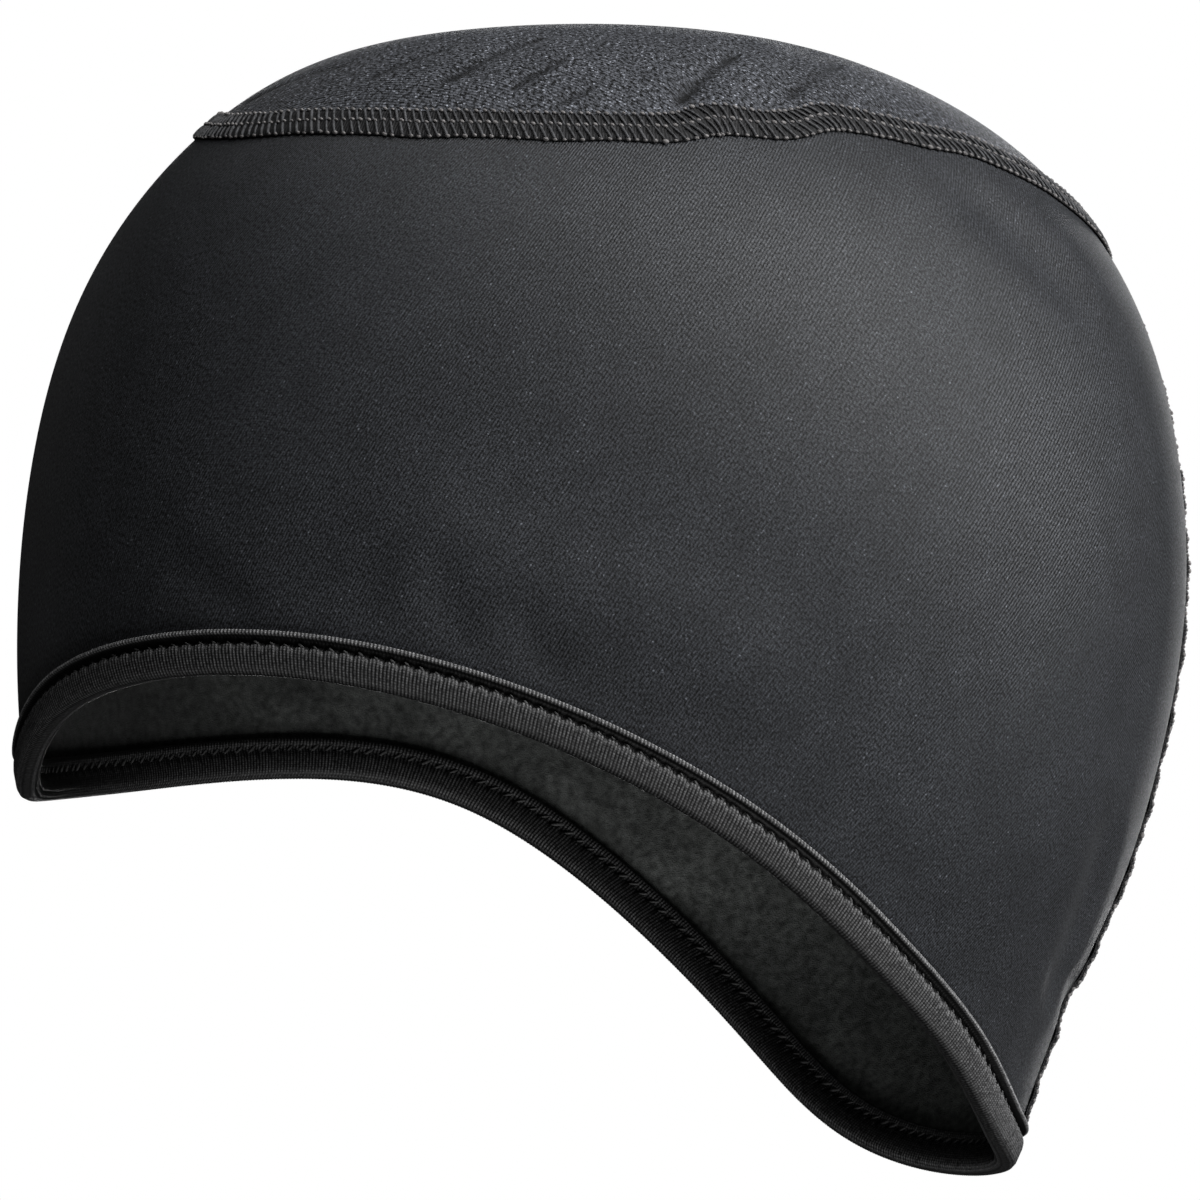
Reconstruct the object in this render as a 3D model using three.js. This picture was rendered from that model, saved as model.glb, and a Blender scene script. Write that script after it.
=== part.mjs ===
import * as THREE from 'three';

// A close-fitting stretch cap as it sits on a head: +Z is up, the brow faces -Y and the wearer's
// left side faces +X. Levels are measured from the level where the head is widest, and the whole
// cap is then lowered so that the inside of the crown lies at the origin. All lengths are in
// millimetres and all angles in degrees.

// Overall sizes of the cap as worn
const CAP_LENGTH = 204;
const CAP_WIDTH = 153;
const CROWN_RISE = 101.5;
const SEAM_RISE = 72;
const BROW_DROP = 34;
const NAPE_DROP = 98;

// Cloth, seams and edge binding
const CLOTH = 1.2;
const GAP = 0.3;
const SEAM_WIDTH = 6;
const SEAM_THREADS = 0.7;
const SEAM_CORE = 1;
const BINDING_HEIGHT = 7.6;
const BINDING_CLOTH = 1.1;
const BINDING_ROLL = 0.5;

// How far the plan of the head is squarer than an ellipse, at the brow and at the nape
const BROW_SQUARENESS = 0.04;
const NAPE_SQUARENESS = 0.008;

// The head's profile: at each lift above the widest level, the reach forward, back and sideways
// as a share of half the length, half the width and the crown's rise
const PROFILE = [
  { lift: -60, front: 1.14, back: 1.255, side: 1.1 },
  { lift: -45, front: 1.11, back: 1.07, side: 1.04 },
  { lift: -30, front: 1.075, back: 1.008, side: 1 },
  { lift: -15, front: 1.025, back: 0.988, side: 0.985 },
  { lift: 0, front: 1, back: 1, side: 0.99 },
  { lift: 15, front: 1.01, back: 1.027, side: 1.01 },
  { lift: 30, front: 1.042, back: 1.065, side: 1.036 },
  { lift: 45, front: 1.066, back: 1.079, side: 1.05 },
  { lift: 60, front: 1.062, back: 1.055, side: 1.045 },
  { lift: 75, front: 1.008, back: 1.02, side: 1.018 },
  { lift: 90, front: 1, back: 1, side: 1 },
];

// The lower edge: at each turn from the brow, the share of the way down from brow to nape.
// The cap sits a little askew, so that the left side hangs lower than the right over the ear.
const RIM = [
  { turn: 0, left: 0, right: 0 },
  { turn: 20, left: -0.1, right: -0.045 },
  { turn: 40, left: -0.15, right: -0.145 },
  { turn: 60, left: -0.1, right: -0.235 },
  { turn: 80, left: 0.06, right: -0.16 },
  { turn: 100, left: 0.3, right: 0.24 },
  { turn: 120, left: 0.575, right: 0.68 },
  { turn: 140, left: 0.79, right: 0.9 },
  { turn: 160, left: 0.96, right: 0.98 },
  { turn: 180, left: 1, right: 1 },
];

// The crown seam's level round the head, as a share of its rise
const SEAM_LINE = [
  { turn: 0, level: 1.165 },
  { turn: 15, level: 1.13 },
  { turn: 30, level: 1.07 },
  { turn: 60, level: 1 },
  { turn: 90, level: 0.98 },
  { turn: 120, level: 1.045 },
  { turn: 150, level: 0.98 },
  { turn: 180, level: 0.905 },
];

// Creases in the stretched cloth. Each runs between two places, with its half width and depth as
// shares of one crease's; a negative turn is on the right side of the head.
const CREASE_WIDTH = 5;
const CREASE_DEPTH = 1;
const CREASES = [
  { turn: 97, lift: 47, toTurn: 123, toLift: 66, width: 0.8, depth: 1.3 },
  { turn: 112, lift: 49, toTurn: 129, toLift: 57, width: 1.2, depth: 0.9 },
  { turn: 66, lift: 50, toTurn: 76, toLift: 60, width: 0.8, depth: 0.9 },
  { turn: 77, lift: 49, toTurn: 86, toLift: 57, width: 0.7, depth: 0.7 },
  { turn: 19, lift: 54, toTurn: 40, toLift: 58, width: 0.8, depth: 0.8 },
  { turn: 133, lift: 34, toTurn: 142, toLift: 27, width: 1.8, depth: 0.9 },
  { turn: 44, lift: -3, toTurn: 50, toLift: -8, width: 1.1, depth: 0.8 },
  { turn: 71, lift: -6, toTurn: 72, toLift: -11, width: 0.9, depth: 0.6 },
  { turn: 79, lift: -11, toTurn: 81, toLift: -15, width: 0.9, depth: 0.7 },
  { turn: 87, lift: -12, toTurn: 97, toLift: -22, width: 2, depth: 1 },
  { turn: 156, lift: -27, toTurn: 161, toLift: -40, width: 1.4, depth: 1.1 },
  { turn: -102, lift: 48, toTurn: -124, toLift: 62, width: 0.9, depth: 1 },
  { turn: -70, lift: 50, toTurn: -80, toLift: 60, width: 0.9, depth: 0.8 },
  { turn: -60, lift: -4, toTurn: -66, toLift: -9, width: 1.2, depth: 0.7 },
  { turn: -92, lift: -10, toTurn: -100, toLift: -19, width: 1.8, depth: 0.9 },
];

// How finely the surfaces are divided
const TURN_STEP = 5;
const PANEL_RINGS = 7;
const SIDE_ROWS = 9;

// A smooth curve through a few values: the natural cubic spline
function smoothCurve(places, values) {
  const count = places.length;
  const bend = new Array(count).fill(0);
  const carry = new Array(count).fill(0);
  for (let i = 1; i < count - 1; i += 1) {
    const before = places[i] - places[i - 1];
    const after = places[i + 1] - places[i];
    const slopeChange = (values[i + 1] - values[i]) / after - (values[i] - values[i - 1]) / before;
    const pivot = 2 * (before + after) - before * carry[i - 1];
    carry[i] = after / pivot;
    bend[i] = (6 * slopeChange - before * bend[i - 1]) / pivot;
  }
  for (let i = count - 2; i > 0; i -= 1) {
    bend[i] -= carry[i] * bend[i + 1];
  }
  return (place) => {
    let i = 0;
    while (i < count - 2 && place > places[i + 1]) i += 1;
    const step = places[i + 1] - places[i];
    const a = (places[i + 1] - place) / step;
    const b = 1 - a;
    const curve = ((a ** 3 - a) * bend[i] + (b ** 3 - b) * bend[i + 1]) * step * step / 6;
    return a * values[i] + b * values[i + 1] + curve;
  };
}

// A profile over the top of the head, from the lowest lift on one side to the lowest on the other
function overTheTop(nearColumn, farColumn) {
  const farRows = PROFILE.slice(0, -1).reverse();
  const lifts = [...PROFILE.map((row) => row.lift), ...farRows.map((row) => 180 - row.lift)];
  const reaches = [
    ...PROFILE.map((row) => row[nearColumn]),
    ...farRows.map((row) => row[farColumn]),
  ];
  return smoothCurve(lifts, reaches);
}

// A level that runs once round the head, from columns for the left and the right side
function roundTheHead(rows, leftColumn, rightColumn) {
  const right = rows.slice(1).reverse().map((row) => ({ turn: -row.turn, value: row[rightColumn] }));
  const left = rows.slice(0, -1).map((row) => ({ turn: row.turn, value: row[leftColumn] }));
  const once = [...right, ...left];
  const rounds = [-360, 0, 360].flatMap((shift) =>
    once.map((row) => ({ turn: row.turn + shift, value: row.value })));
  return smoothCurve(rounds.map((row) => row.turn), rounds.map((row) => row.value));
}

const lengthwiseReach = overTheTop('front', 'back');
const sidewaysReach = overTheTop('side', 'side');
const rimShare = roundTheHead(RIM, 'left', 'right');
const seamShare = roundTheHead(SEAM_LINE, 'level', 'level');
const rimLevel = (turn) => -BROW_DROP - (NAPE_DROP - BROW_DROP) * rimShare(turn);
const seamLevel = (turn) => SEAM_RISE * seamShare(turn);

// The cap's smooth outer surface, with no creases. A place on it is a turn from the brow towards
// the left ear and a lift from the widest level to the crown.
function smoothSurface({ turn, lift }) {
  const round = THREE.MathUtils.degToRad(turn);
  const up = THREE.MathUtils.degToRad(lift);
  const ahead = Math.cos(round);
  const front = lengthwiseReach(lift);
  const back = lengthwiseReach(180 - lift);
  const lengthwise = (front + back) / 2 + (front - back) / 2 * Math.sin(Math.PI / 2 * ahead);
  const oval = 1 / Math.hypot(ahead / lengthwise, Math.sin(round) / sidewaysReach(lift));
  const squareness = (BROW_SQUARENESS + NAPE_SQUARENESS) / 2
    + (BROW_SQUARENESS - NAPE_SQUARENESS) / 2 * ahead;
  const reach = oval * (1 + squareness * (Math.sin(2 * round) * Math.cos(up)) ** 2);
  return new THREE.Vector3(
    CAP_WIDTH / 2 * reach * Math.cos(up) * Math.sin(round),
    -CAP_LENGTH / 2 * reach * Math.cos(up) * ahead,
    CROWN_RISE * reach * Math.sin(up),
  );
}

// The place on the surface in the direction of a point
function placeTowards(point) {
  const sideways = point.x / (CAP_WIDTH / 2);
  const backward = point.y / (CAP_LENGTH / 2);
  const upward = point.z / CROWN_RISE;
  return {
    turn: THREE.MathUtils.radToDeg(Math.atan2(sideways, -backward)),
    lift: THREE.MathUtils.radToDeg(Math.atan2(upward, Math.hypot(sideways, backward))),
  };
}

// The lift at which the surface reaches a level, at one turn
function liftAtLevel(turn, level) {
  let low = -80;
  let high = 89;
  for (let i = 0; i < 40; i += 1) {
    const middle = (low + high) / 2;
    if (smoothSurface({ turn, lift: middle }).z < level) low = middle;
    else high = middle;
  }
  return (low + high) / 2;
}

// The surface's outward direction, from four points around the place
function outward({ turn, lift }) {
  const nudge = 0.5;
  if (lift > 90 - nudge) return new THREE.Vector3(0, 0, 1);
  const along = smoothSurface({ turn: turn + nudge, lift })
    .sub(smoothSurface({ turn: turn - nudge, lift }));
  const rising = smoothSurface({ turn, lift: lift + nudge })
    .sub(smoothSurface({ turn, lift: lift - nudge }));
  return along.cross(rising).normalize();
}

const creaseLines = CREASES.map((crease) => ({
  ...crease,
  line: new THREE.Line3(
    smoothSurface(crease),
    smoothSurface({ turn: crease.toTurn, lift: crease.toLift }),
  ),
}));

// How far the creases lift or sink the cloth at a point of the smooth surface. The binding holds
// the cloth smooth beneath it.
function creaseHeight(point, turn) {
  const aboveRim = point.z - rimLevel(turn);
  const free = THREE.MathUtils.smoothstep(aboveRim, BINDING_HEIGHT, 2 * BINDING_HEIGHT);
  const nearest = new THREE.Vector3();
  let height = 0;
  for (const { line, width, depth } of creaseLines) {
    line.closestPointToPoint(point, true, nearest);
    const spread = (nearest.distanceTo(point) / (width * CREASE_WIDTH)) ** 2;
    height -= depth * CREASE_DEPTH * (1 - 1.2 * spread) * Math.exp(-spread);
  }
  return height * free;
}

// A point at a height over the creased outer surface; the inside face is at minus the cloth
function atHeight(place, height) {
  const point = smoothSurface(place);
  return point.addScaledVector(outward(place), creaseHeight(point, place.turn) + height);
}

// The place a distance above or below a line that runs round the head, square to that line
function besideLine(level, turn, distance) {
  const nudge = 1;
  const onLine = (at) => ({ turn: at, lift: liftAtLevel(at, level(at)) });
  const along = smoothSurface(onLine(turn + nudge)).sub(smoothSurface(onLine(turn - nudge)));
  const across = outward(onLine(turn)).cross(along).normalize();
  return placeTowards(smoothSurface(onLine(turn)).addScaledVector(across, distance));
}

// The place at a lift that lies a distance to the left of centre back, or to the right if negative
function besideCentreBack(distance, lift) {
  let near = 180;
  let far = 90;
  for (let i = 0; i < 40; i += 1) {
    const middle = (near + far) / 2;
    if (smoothSurface({ turn: middle, lift }).x < Math.abs(distance)) near = middle;
    else far = middle;
  }
  return { turn: distance < 0 ? -near : near, lift };
}

// Faces are built in step with each other, then all turned outward together
function solid(name, points, faces, material) {
  let volume = 0;
  for (const [a, b, c] of faces) {
    volume += points[a].dot(points[b].clone().cross(points[c]));
  }
  const turned = volume > 0 ? faces : faces.map(([a, b, c]) => [a, c, b]);
  const geometry = new THREE.BufferGeometry().setFromPoints(points);
  geometry.setIndex(turned.flat());
  geometry.computeVertexNormals();
  const mesh = new THREE.Mesh(geometry, material);
  mesh.name = name;
  return mesh;
}

// Two faces between four corners
function quad(faces, a, b, c, d) {
  faces.push([a, b, c], [a, c, d]);
}

// A cloth panel with an outer and an inner skin over a grid of places, whose rows run upward.
// A wrapped panel closes round the head; a capped one closes over the crown as well.
function clothPanel(name, grid, { wrapped, capped }, material) {
  const points = [];
  const faces = [];
  const skinOf = (height) =>
    grid.map((row) => row.map((place) => points.push(atHeight(place, height)) - 1));
  const outer = skinOf(0);
  const inner = skinOf(-CLOTH);
  const top = grid.length - 1;
  const columns = grid[0].length;
  const strips = wrapped ? columns : columns - 1;
  for (let c = 0; c < strips; c += 1) {
    const d = (c + 1) % columns;
    for (let r = 0; r < top; r += 1) {
      quad(faces, outer[r][c], outer[r][d], outer[r + 1][d], outer[r + 1][c]);
      quad(faces, inner[r][d], inner[r][c], inner[r + 1][c], inner[r + 1][d]);
    }
    quad(faces, outer[0][d], outer[0][c], inner[0][c], inner[0][d]);
    if (!capped) quad(faces, outer[top][c], outer[top][d], inner[top][d], inner[top][c]);
  }
  if (!wrapped) {
    const end = columns - 1;
    for (let r = 0; r < top; r += 1) {
      quad(faces, outer[r][0], outer[r + 1][0], inner[r + 1][0], inner[r][0]);
      quad(faces, outer[r + 1][end], outer[r][end], inner[r][end], inner[r + 1][end]);
    }
  }
  if (capped) {
    const crown = { turn: 0, lift: 90 };
    const outerCrown = points.push(atHeight(crown, 0)) - 1;
    const innerCrown = points.push(atHeight(crown, -CLOTH)) - 1;
    for (let c = 0; c < columns; c += 1) {
      const d = (c + 1) % columns;
      faces.push([outer[top][c], outer[top][d], outerCrown]);
      faces.push([inner[top][d], inner[top][c], innerCrown]);
    }
  }
  return solid(name, points, faces, material);
}

// The triangles that close a flat section, wound like the section itself
function sectionFaces(outline) {
  const wound = (triangle) =>
    Math.sign(THREE.ShapeUtils.area(triangle)) === Math.sign(THREE.ShapeUtils.area(outline));
  return THREE.ShapeUtils.triangulateShape(outline, [])
    .map(([a, b, c]) => (wound([outline[a], outline[b], outline[c]]) ? [a, b, c] : [a, c, b]));
}

// A strip swept through sections: each station turns the outline's points into points in space
function sweptStrip(name, outline, stations, closed, material) {
  const points = stations.flatMap((pointAt) => outline.map(pointAt));
  const faces = [];
  const size = outline.length;
  const steps = closed ? stations.length : stations.length - 1;
  for (let s = 0; s < steps; s += 1) {
    const here = s * size;
    const next = ((s + 1) % stations.length) * size;
    for (let k = 0; k < size; k += 1) {
      const m = (k + 1) % size;
      quad(faces, here + k, next + k, next + m, here + m);
    }
  }
  if (!closed) {
    const last = (stations.length - 1) * size;
    for (const [a, b, c] of sectionFaces(outline)) {
      faces.push([a, b, c], [last + a, last + c, last + b]);
    }
  }
  return solid(name, points, faces, material);
}

// A flatlock seam's section: thread bands outside and inside, joined by a core between the two
// cloth edges. x runs across the seam and y outward.
function flatlockSection() {
  const half = SEAM_WIDTH / 2;
  const core = SEAM_CORE / 2;
  const shoulder = half - SEAM_THREADS / 2;
  const outerFloor = GAP;
  const outerTop = GAP + SEAM_THREADS;
  const innerFloor = -CLOTH - GAP;
  const innerTop = innerFloor - SEAM_THREADS;
  return [
    new THREE.Vector2(-half, outerFloor),
    new THREE.Vector2(-shoulder, outerTop),
    new THREE.Vector2(shoulder, outerTop),
    new THREE.Vector2(half, outerFloor),
    new THREE.Vector2(core, outerFloor),
    new THREE.Vector2(core, innerFloor),
    new THREE.Vector2(half, innerFloor),
    new THREE.Vector2(shoulder, innerTop),
    new THREE.Vector2(-shoulder, innerTop),
    new THREE.Vector2(-half, innerFloor),
    new THREE.Vector2(-core, innerFloor),
    new THREE.Vector2(-core, outerFloor),
  ];
}

// The edge binding's section: folded round the cloth's edge, with a rolled upper edge outside.
// x runs up from the folded edge and y outward.
const BINDING_MIDDLE = BINDING_HEIGHT * 0.55;
function bindingSection() {
  const outerFace = GAP;
  const innerFace = -CLOTH - GAP;
  const outside = outerFace + BINDING_CLOTH;
  const inside = innerFace - BINDING_CLOTH;
  const foldCorner = BINDING_CLOTH / 2;
  return [
    new THREE.Vector2(0, outerFace),
    new THREE.Vector2(foldCorner, outside),
    new THREE.Vector2(BINDING_MIDDLE, outside),
    new THREE.Vector2(BINDING_HEIGHT - 3 * BINDING_ROLL, outside - BINDING_ROLL / 2),
    new THREE.Vector2(BINDING_HEIGHT - 2 * BINDING_ROLL, outside + BINDING_ROLL),
    new THREE.Vector2(BINDING_HEIGHT - BINDING_ROLL / 2, outside + BINDING_ROLL),
    new THREE.Vector2(BINDING_HEIGHT, outerFace),
    new THREE.Vector2(BINDING_MIDDLE, outerFace),
    new THREE.Vector2(BINDING_CLOTH, outerFace),
    new THREE.Vector2(BINDING_CLOTH, innerFace),
    new THREE.Vector2(BINDING_MIDDLE, innerFace),
    new THREE.Vector2(BINDING_HEIGHT, innerFace),
    new THREE.Vector2(BINDING_HEIGHT - BINDING_ROLL, inside),
    new THREE.Vector2(BINDING_MIDDLE, inside),
    new THREE.Vector2(foldCorner, inside),
    new THREE.Vector2(0, innerFace),
  ];
}

// Turns all round the head, and the distances at which cloth meets a seam or the binding
const turns = [];
for (let turn = -180; turn < 180; turn += TURN_STEP) turns.push(turn);
const seamEdge = SEAM_CORE / 2 + GAP;
const besideSeam = SEAM_WIDTH / 2 + GAP;
const foldClearance = BINDING_CLOTH + GAP;
const aboveBinding = BINDING_HEIGHT + GAP;

function cloth(color, roughness) {
  return new THREE.MeshStandardMaterial({ color, roughness, metalness: 0 });
}

// The oval panel over the crown
function topPanel() {
  const edge = turns.map((turn) => besideLine(seamLevel, turn, seamEdge));
  const besideEdge = turns.map((turn) => besideLine(seamLevel, turn, besideSeam));
  const grid = [edge];
  for (let ring = 0; ring < PANEL_RINGS; ring += 1) {
    const share = ring / PANEL_RINGS;
    grid.push(besideEdge.map(({ turn, lift }) => ({ turn, lift: lift + (90 - lift) * share })));
  }
  return clothPanel('top_panel', grid, { wrapped: true, capped: true }, cloth(0x46474b, 0.6));
}

// One column of the side band's places, from inside the binding's fold up to the crown seam
const foldRows = [foldClearance, BINDING_MIDDLE];
function sideColumn(turn) {
  const low = [...foldRows, aboveBinding].map((distance) => besideLine(rimLevel, turn, distance));
  const high = [-besideSeam, -seamEdge].map((distance) => besideLine(seamLevel, turn, distance));
  const from = low[foldRows.length];
  const to = high[0];
  const middle = [];
  for (let row = 1; row <= SIDE_ROWS; row += 1) {
    const share = row / (SIDE_ROWS + 1);
    middle.push({
      turn: THREE.MathUtils.lerp(from.turn, to.turn, share),
      lift: THREE.MathUtils.lerp(from.lift, to.lift, share),
    });
  }
  return [...low, ...middle, ...high];
}
const centreBackLifts = sideColumn(180).map(({ lift }) => lift);

// The long panel round brow, sides and nape, open at centre back
function sideBand() {
  const endColumn = (distance) =>
    centreBackLifts.map((lift) => besideCentreBack(distance, lift));
  const inner = turns.filter((turn) => turn > -180).map(sideColumn);
  const columns = [endColumn(-seamEdge), ...inner, endColumn(seamEdge)];
  const grid = centreBackLifts.map((_, row) => columns.map((places) => places[row]));
  return clothPanel('side_band', grid, { wrapped: false, capped: false }, cloth(0x3c3d41, 0.6));
}

// The flatlock seam between the top panel and the side band
function crownSeam() {
  const stations = turns.map((turn) => ({ x, y }) => atHeight(besideLine(seamLevel, turn, x), y));
  return sweptStrip('crown_seam', flatlockSection(), stations, true, cloth(0x54534f, 0.8));
}

// The flatlock seam down centre back, from under the crown seam to the binding
function backSeam() {
  const stations = centreBackLifts.slice(foldRows.length, -1)
    .map((lift) => ({ x, y }) => atHeight(besideCentreBack(x, lift), y));
  return sweptStrip('back_seam', flatlockSection(), stations, false, cloth(0x54534f, 0.8));
}

// The ribbed binding folded round the whole lower edge
function rimBinding() {
  const stations = turns.map((turn) => ({ x, y }) => atHeight(besideLine(rimLevel, turn, x), y));
  return sweptStrip('rim_binding', bindingSection(), stations, true, cloth(0x36363a, 0.7));
}

// The assembled cap, with the inside of its crown at the origin
const cap = new THREE.Group();
cap.position.z = CLOTH - CROWN_RISE;
cap.add(topPanel(), sideBand(), crownSeam(), backSeam(), rimBinding());

export default cap;
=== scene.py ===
# %% [markdown]
# # A stretch cap that is worn under a helmet
# The cap is sewn from a thin charcoal knit that is smooth outside and brushed inside. Raised flat
# seams join its pieces and a ribbed binding is folded over the lower edge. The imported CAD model
# gives the place and size of every piece, so it is loaded first and its box is kept.

# %% Load the frame
import bpy
import bmesh
import math
import numpy as np
from mathutils import Matrix, Vector


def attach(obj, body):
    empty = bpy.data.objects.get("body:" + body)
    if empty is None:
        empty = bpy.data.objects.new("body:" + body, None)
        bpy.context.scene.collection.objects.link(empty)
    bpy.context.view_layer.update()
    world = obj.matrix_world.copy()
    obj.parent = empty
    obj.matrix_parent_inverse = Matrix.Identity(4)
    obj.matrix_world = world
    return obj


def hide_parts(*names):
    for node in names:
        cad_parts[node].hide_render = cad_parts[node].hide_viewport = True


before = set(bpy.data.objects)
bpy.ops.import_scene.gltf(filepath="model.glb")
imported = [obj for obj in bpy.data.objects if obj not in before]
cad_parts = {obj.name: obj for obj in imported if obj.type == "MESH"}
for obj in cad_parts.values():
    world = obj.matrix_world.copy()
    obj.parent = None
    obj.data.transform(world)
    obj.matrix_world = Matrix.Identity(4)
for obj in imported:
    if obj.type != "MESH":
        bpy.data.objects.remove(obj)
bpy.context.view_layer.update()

MM = 0.001

# %% [markdown]
# ## The camera
# The photograph looks at the cap's left side from a little in front of it and below it, through a
# long lens. A long lens far away keeps the shape almost free of perspective.

# %% Camera
MIDDLE = Vector((0, 0, -0.1003))
AZIMUTH = math.radians(85)
ELEVATION = math.radians(-12)
DISTANCE = 1.3
towards_camera = Vector((
    math.sin(AZIMUTH) * math.cos(ELEVATION),
    -math.cos(AZIMUTH) * math.cos(ELEVATION),
    math.sin(ELEVATION),
))
camera_data = bpy.data.cameras.new("camera")
camera_data.sensor_width = 36
camera_data.lens = 223.1
camera_data.shift_x = -0.0027
camera_data.shift_y = 0.0061
camera = bpy.data.objects.new("camera", camera_data)
camera.location = MIDDLE + towards_camera * DISTANCE
camera.rotation_euler = (-towards_camera).to_track_quat("-Z", "Y").to_euler()
bpy.context.collection.objects.link(camera)
bpy.context.scene.camera = camera
bpy.context.scene.view_settings.view_transform = "Standard"
print("camera at", tuple(round(value, 3) for value in camera.location))

# %% [markdown]
# ## The studio
# A wide pale floor lies well below, and a white shell stands round everything. Both glow for the
# camera alone, so that they look plain and pale without lighting the cap from all sides.

# %% Materials by hand
def new_material(name):
    """A material with its nodes, its links and its main shader."""
    material = bpy.data.materials.new(name)
    material.use_nodes = True
    tree = material.node_tree
    shader = tree.nodes["Principled BSDF"]
    return material, tree, shader


def add(tree, kind, inputs=(), **settings):
    """A node with its settings, and its inputs joined to sockets or given values."""
    node = tree.nodes.new(kind)
    for name, value in settings.items():
        setattr(node, name, value)
    for name, value in dict(inputs).items():
        if isinstance(value, bpy.types.NodeSocket):
            tree.links.new(value, node.inputs[name])
        else:
            node.inputs[name].default_value = value
    return node


def link_object(obj):
    bpy.context.collection.objects.link(obj)
    return obj


def object_from(bm, name):
    """The finished bmesh as a mesh object in the scene."""
    mesh = bpy.data.meshes.new(name)
    bm.to_mesh(mesh)
    bm.free()
    return link_object(bpy.data.objects.new(name, mesh))


# %% Floor and backdrop
FLOOR_RADIUS = 6.5
FLOOR_LEVEL = -1.7
SHELL_RADIUS = 7

bm = bmesh.new()
bmesh.ops.create_circle(bm, cap_ends=True, segments=96, radius=FLOOR_RADIUS)
bmesh.ops.translate(bm, verts=bm.verts, vec=(0, 0, FLOOR_LEVEL))
floor = object_from(bm, "floor")
floor_material, tree, shader = new_material("pale_floor")
place = add(tree, "ShaderNodeTexCoord").outputs["Object"]
grain = add(tree, "ShaderNodeTexNoise", {"Vector": place, "Scale": 3.0, "Detail": 4.0})
tone = add(tree, "ShaderNodeMapRange", {
    "Value": grain.outputs["Fac"], "To Min": 0.70, "To Max": 0.76})
tree.links.new(tone.outputs["Result"], shader.inputs["Base Color"])
shader.inputs["Roughness"].default_value = 0.9
shader.inputs["Emission Color"].default_value = (1, 1, 1, 1)
shader.inputs["Emission Strength"].default_value = 0.78
floor.data.materials.append(floor_material)

bm = bmesh.new()
bmesh.ops.create_uvsphere(bm, u_segments=48, v_segments=24, radius=SHELL_RADIUS)
backdrop = object_from(bm, "backdrop")
backdrop_material, tree, shader = new_material("white_backdrop")
glow = add(tree, "ShaderNodeEmission", {"Color": (1, 1, 1, 1), "Strength": 1.0})
tree.links.new(glow.outputs["Emission"], tree.nodes["Material Output"].inputs["Surface"])
backdrop.data.materials.append(backdrop_material)
for way in ("diffuse", "glossy", "transmission", "volume_scatter", "shadow"):
    setattr(backdrop, "visible_" + way, False)
    setattr(floor, "visible_" + way, False)
print("floor at", FLOOR_LEVEL, "m in a shell", 2 * SHELL_RADIUS, "m across")

# %% [markdown]
# ## The light
# In the photograph the light comes from above and from the right, which is behind the head. The
# brow and the left side of the picture fall into shadow. A large soft key lamp and a weaker lamp
# from above do the same here. A low lamp reaches the inside, and one on the far side keeps the
# hidden half readable when the camera goes round.

# %% Lamps
def softbox(name, where, size, power):
    """A square soft lamp that faces the middle of the cap."""
    lamp = bpy.data.lights.new(name, "AREA")
    lamp.shape = "SQUARE"
    lamp.size = size
    lamp.energy = power
    obj = link_object(bpy.data.objects.new(name, lamp))
    obj.location = where
    obj.rotation_euler = (MIDDLE - obj.location).to_track_quat("-Z", "Y").to_euler()
    print(name, "at", where, "with", power, "W")


softbox("key_light", (0.78, 1.05, 0.60), size=0.9, power=25)
softbox("top_light", (0.80, 0.15, 1.20), size=0.9, power=10)
softbox("low_light", (0.75, 0.10, -1.30), size=0.8, power=6.5)
softbox("far_side_light", (-1.30, 0.30, 0.25), size=0.9, power=11)
world = bpy.data.worlds.new("studio_world")
world.use_nodes = True
background = world.node_tree.nodes["Background"]
background.inputs["Color"].default_value = (1, 1, 1, 1)
background.inputs["Strength"].default_value = 0.017
bpy.context.scene.world = world

# %% [markdown]
# ## The shape of the head
# The cloth takes the shape of the head, so every piece is laid out on one surface. A place on it is
# a turn, in degrees from the brow towards the left ear, and a lift, in degrees from the widest
# level to the crown. The sizes and tables are those of the CAD model.

# %% Sizes of the cap
CAP_LENGTH = 204 * MM
CAP_WIDTH = 153 * MM
CROWN_RISE = 101.5 * MM
SEAM_RISE = 72 * MM
BROW_DROP = 34 * MM
NAPE_DROP = 98 * MM
CLOTH = 1.2 * MM
GAP = 0.3 * MM
SEAM_WIDTH = 6 * MM
SEAM_CORE = 1 * MM
BINDING_HEIGHT = 7.6 * MM
BINDING_CLOTH = 1.1 * MM
BROW_SQUARENESS = 0.04
NAPE_SQUARENESS = 0.008
# the surface is measured from the widest level, and the frame from the inside of the crown
LOWERING = CLOTH - CROWN_RISE
print("cap", CAP_LENGTH, "m long and", CAP_WIDTH, "m wide")

# lift, and the reach forward, back and sideways
PROFILE = [
    (-60, 1.14, 1.255, 1.1),
    (-45, 1.11, 1.07, 1.04),
    (-30, 1.075, 1.008, 1),
    (-15, 1.025, 0.988, 0.985),
    (0, 1, 1, 0.99),
    (15, 1.01, 1.027, 1.01),
    (30, 1.042, 1.065, 1.036),
    (45, 1.066, 1.079, 1.05),
    (60, 1.062, 1.055, 1.045),
    (75, 1.008, 1.02, 1.018),
    (90, 1, 1, 1),
]

# turn, and the share of the way down from brow to nape on the left and on the right
RIM = [
    (0, 0, 0),
    (20, -0.1, -0.045),
    (40, -0.15, -0.145),
    (60, -0.1, -0.235),
    (80, 0.06, -0.16),
    (100, 0.3, 0.24),
    (120, 0.575, 0.68),
    (140, 0.79, 0.9),
    (160, 0.96, 0.98),
    (180, 1, 1),
]

# turn, and the crown seam's share of its rise
SEAM_LINE = [
    (0, 1.165),
    (15, 1.13),
    (30, 1.07),
    (60, 1),
    (90, 0.98),
    (120, 1.045),
    (150, 0.98),
    (180, 0.905),
]


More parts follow.
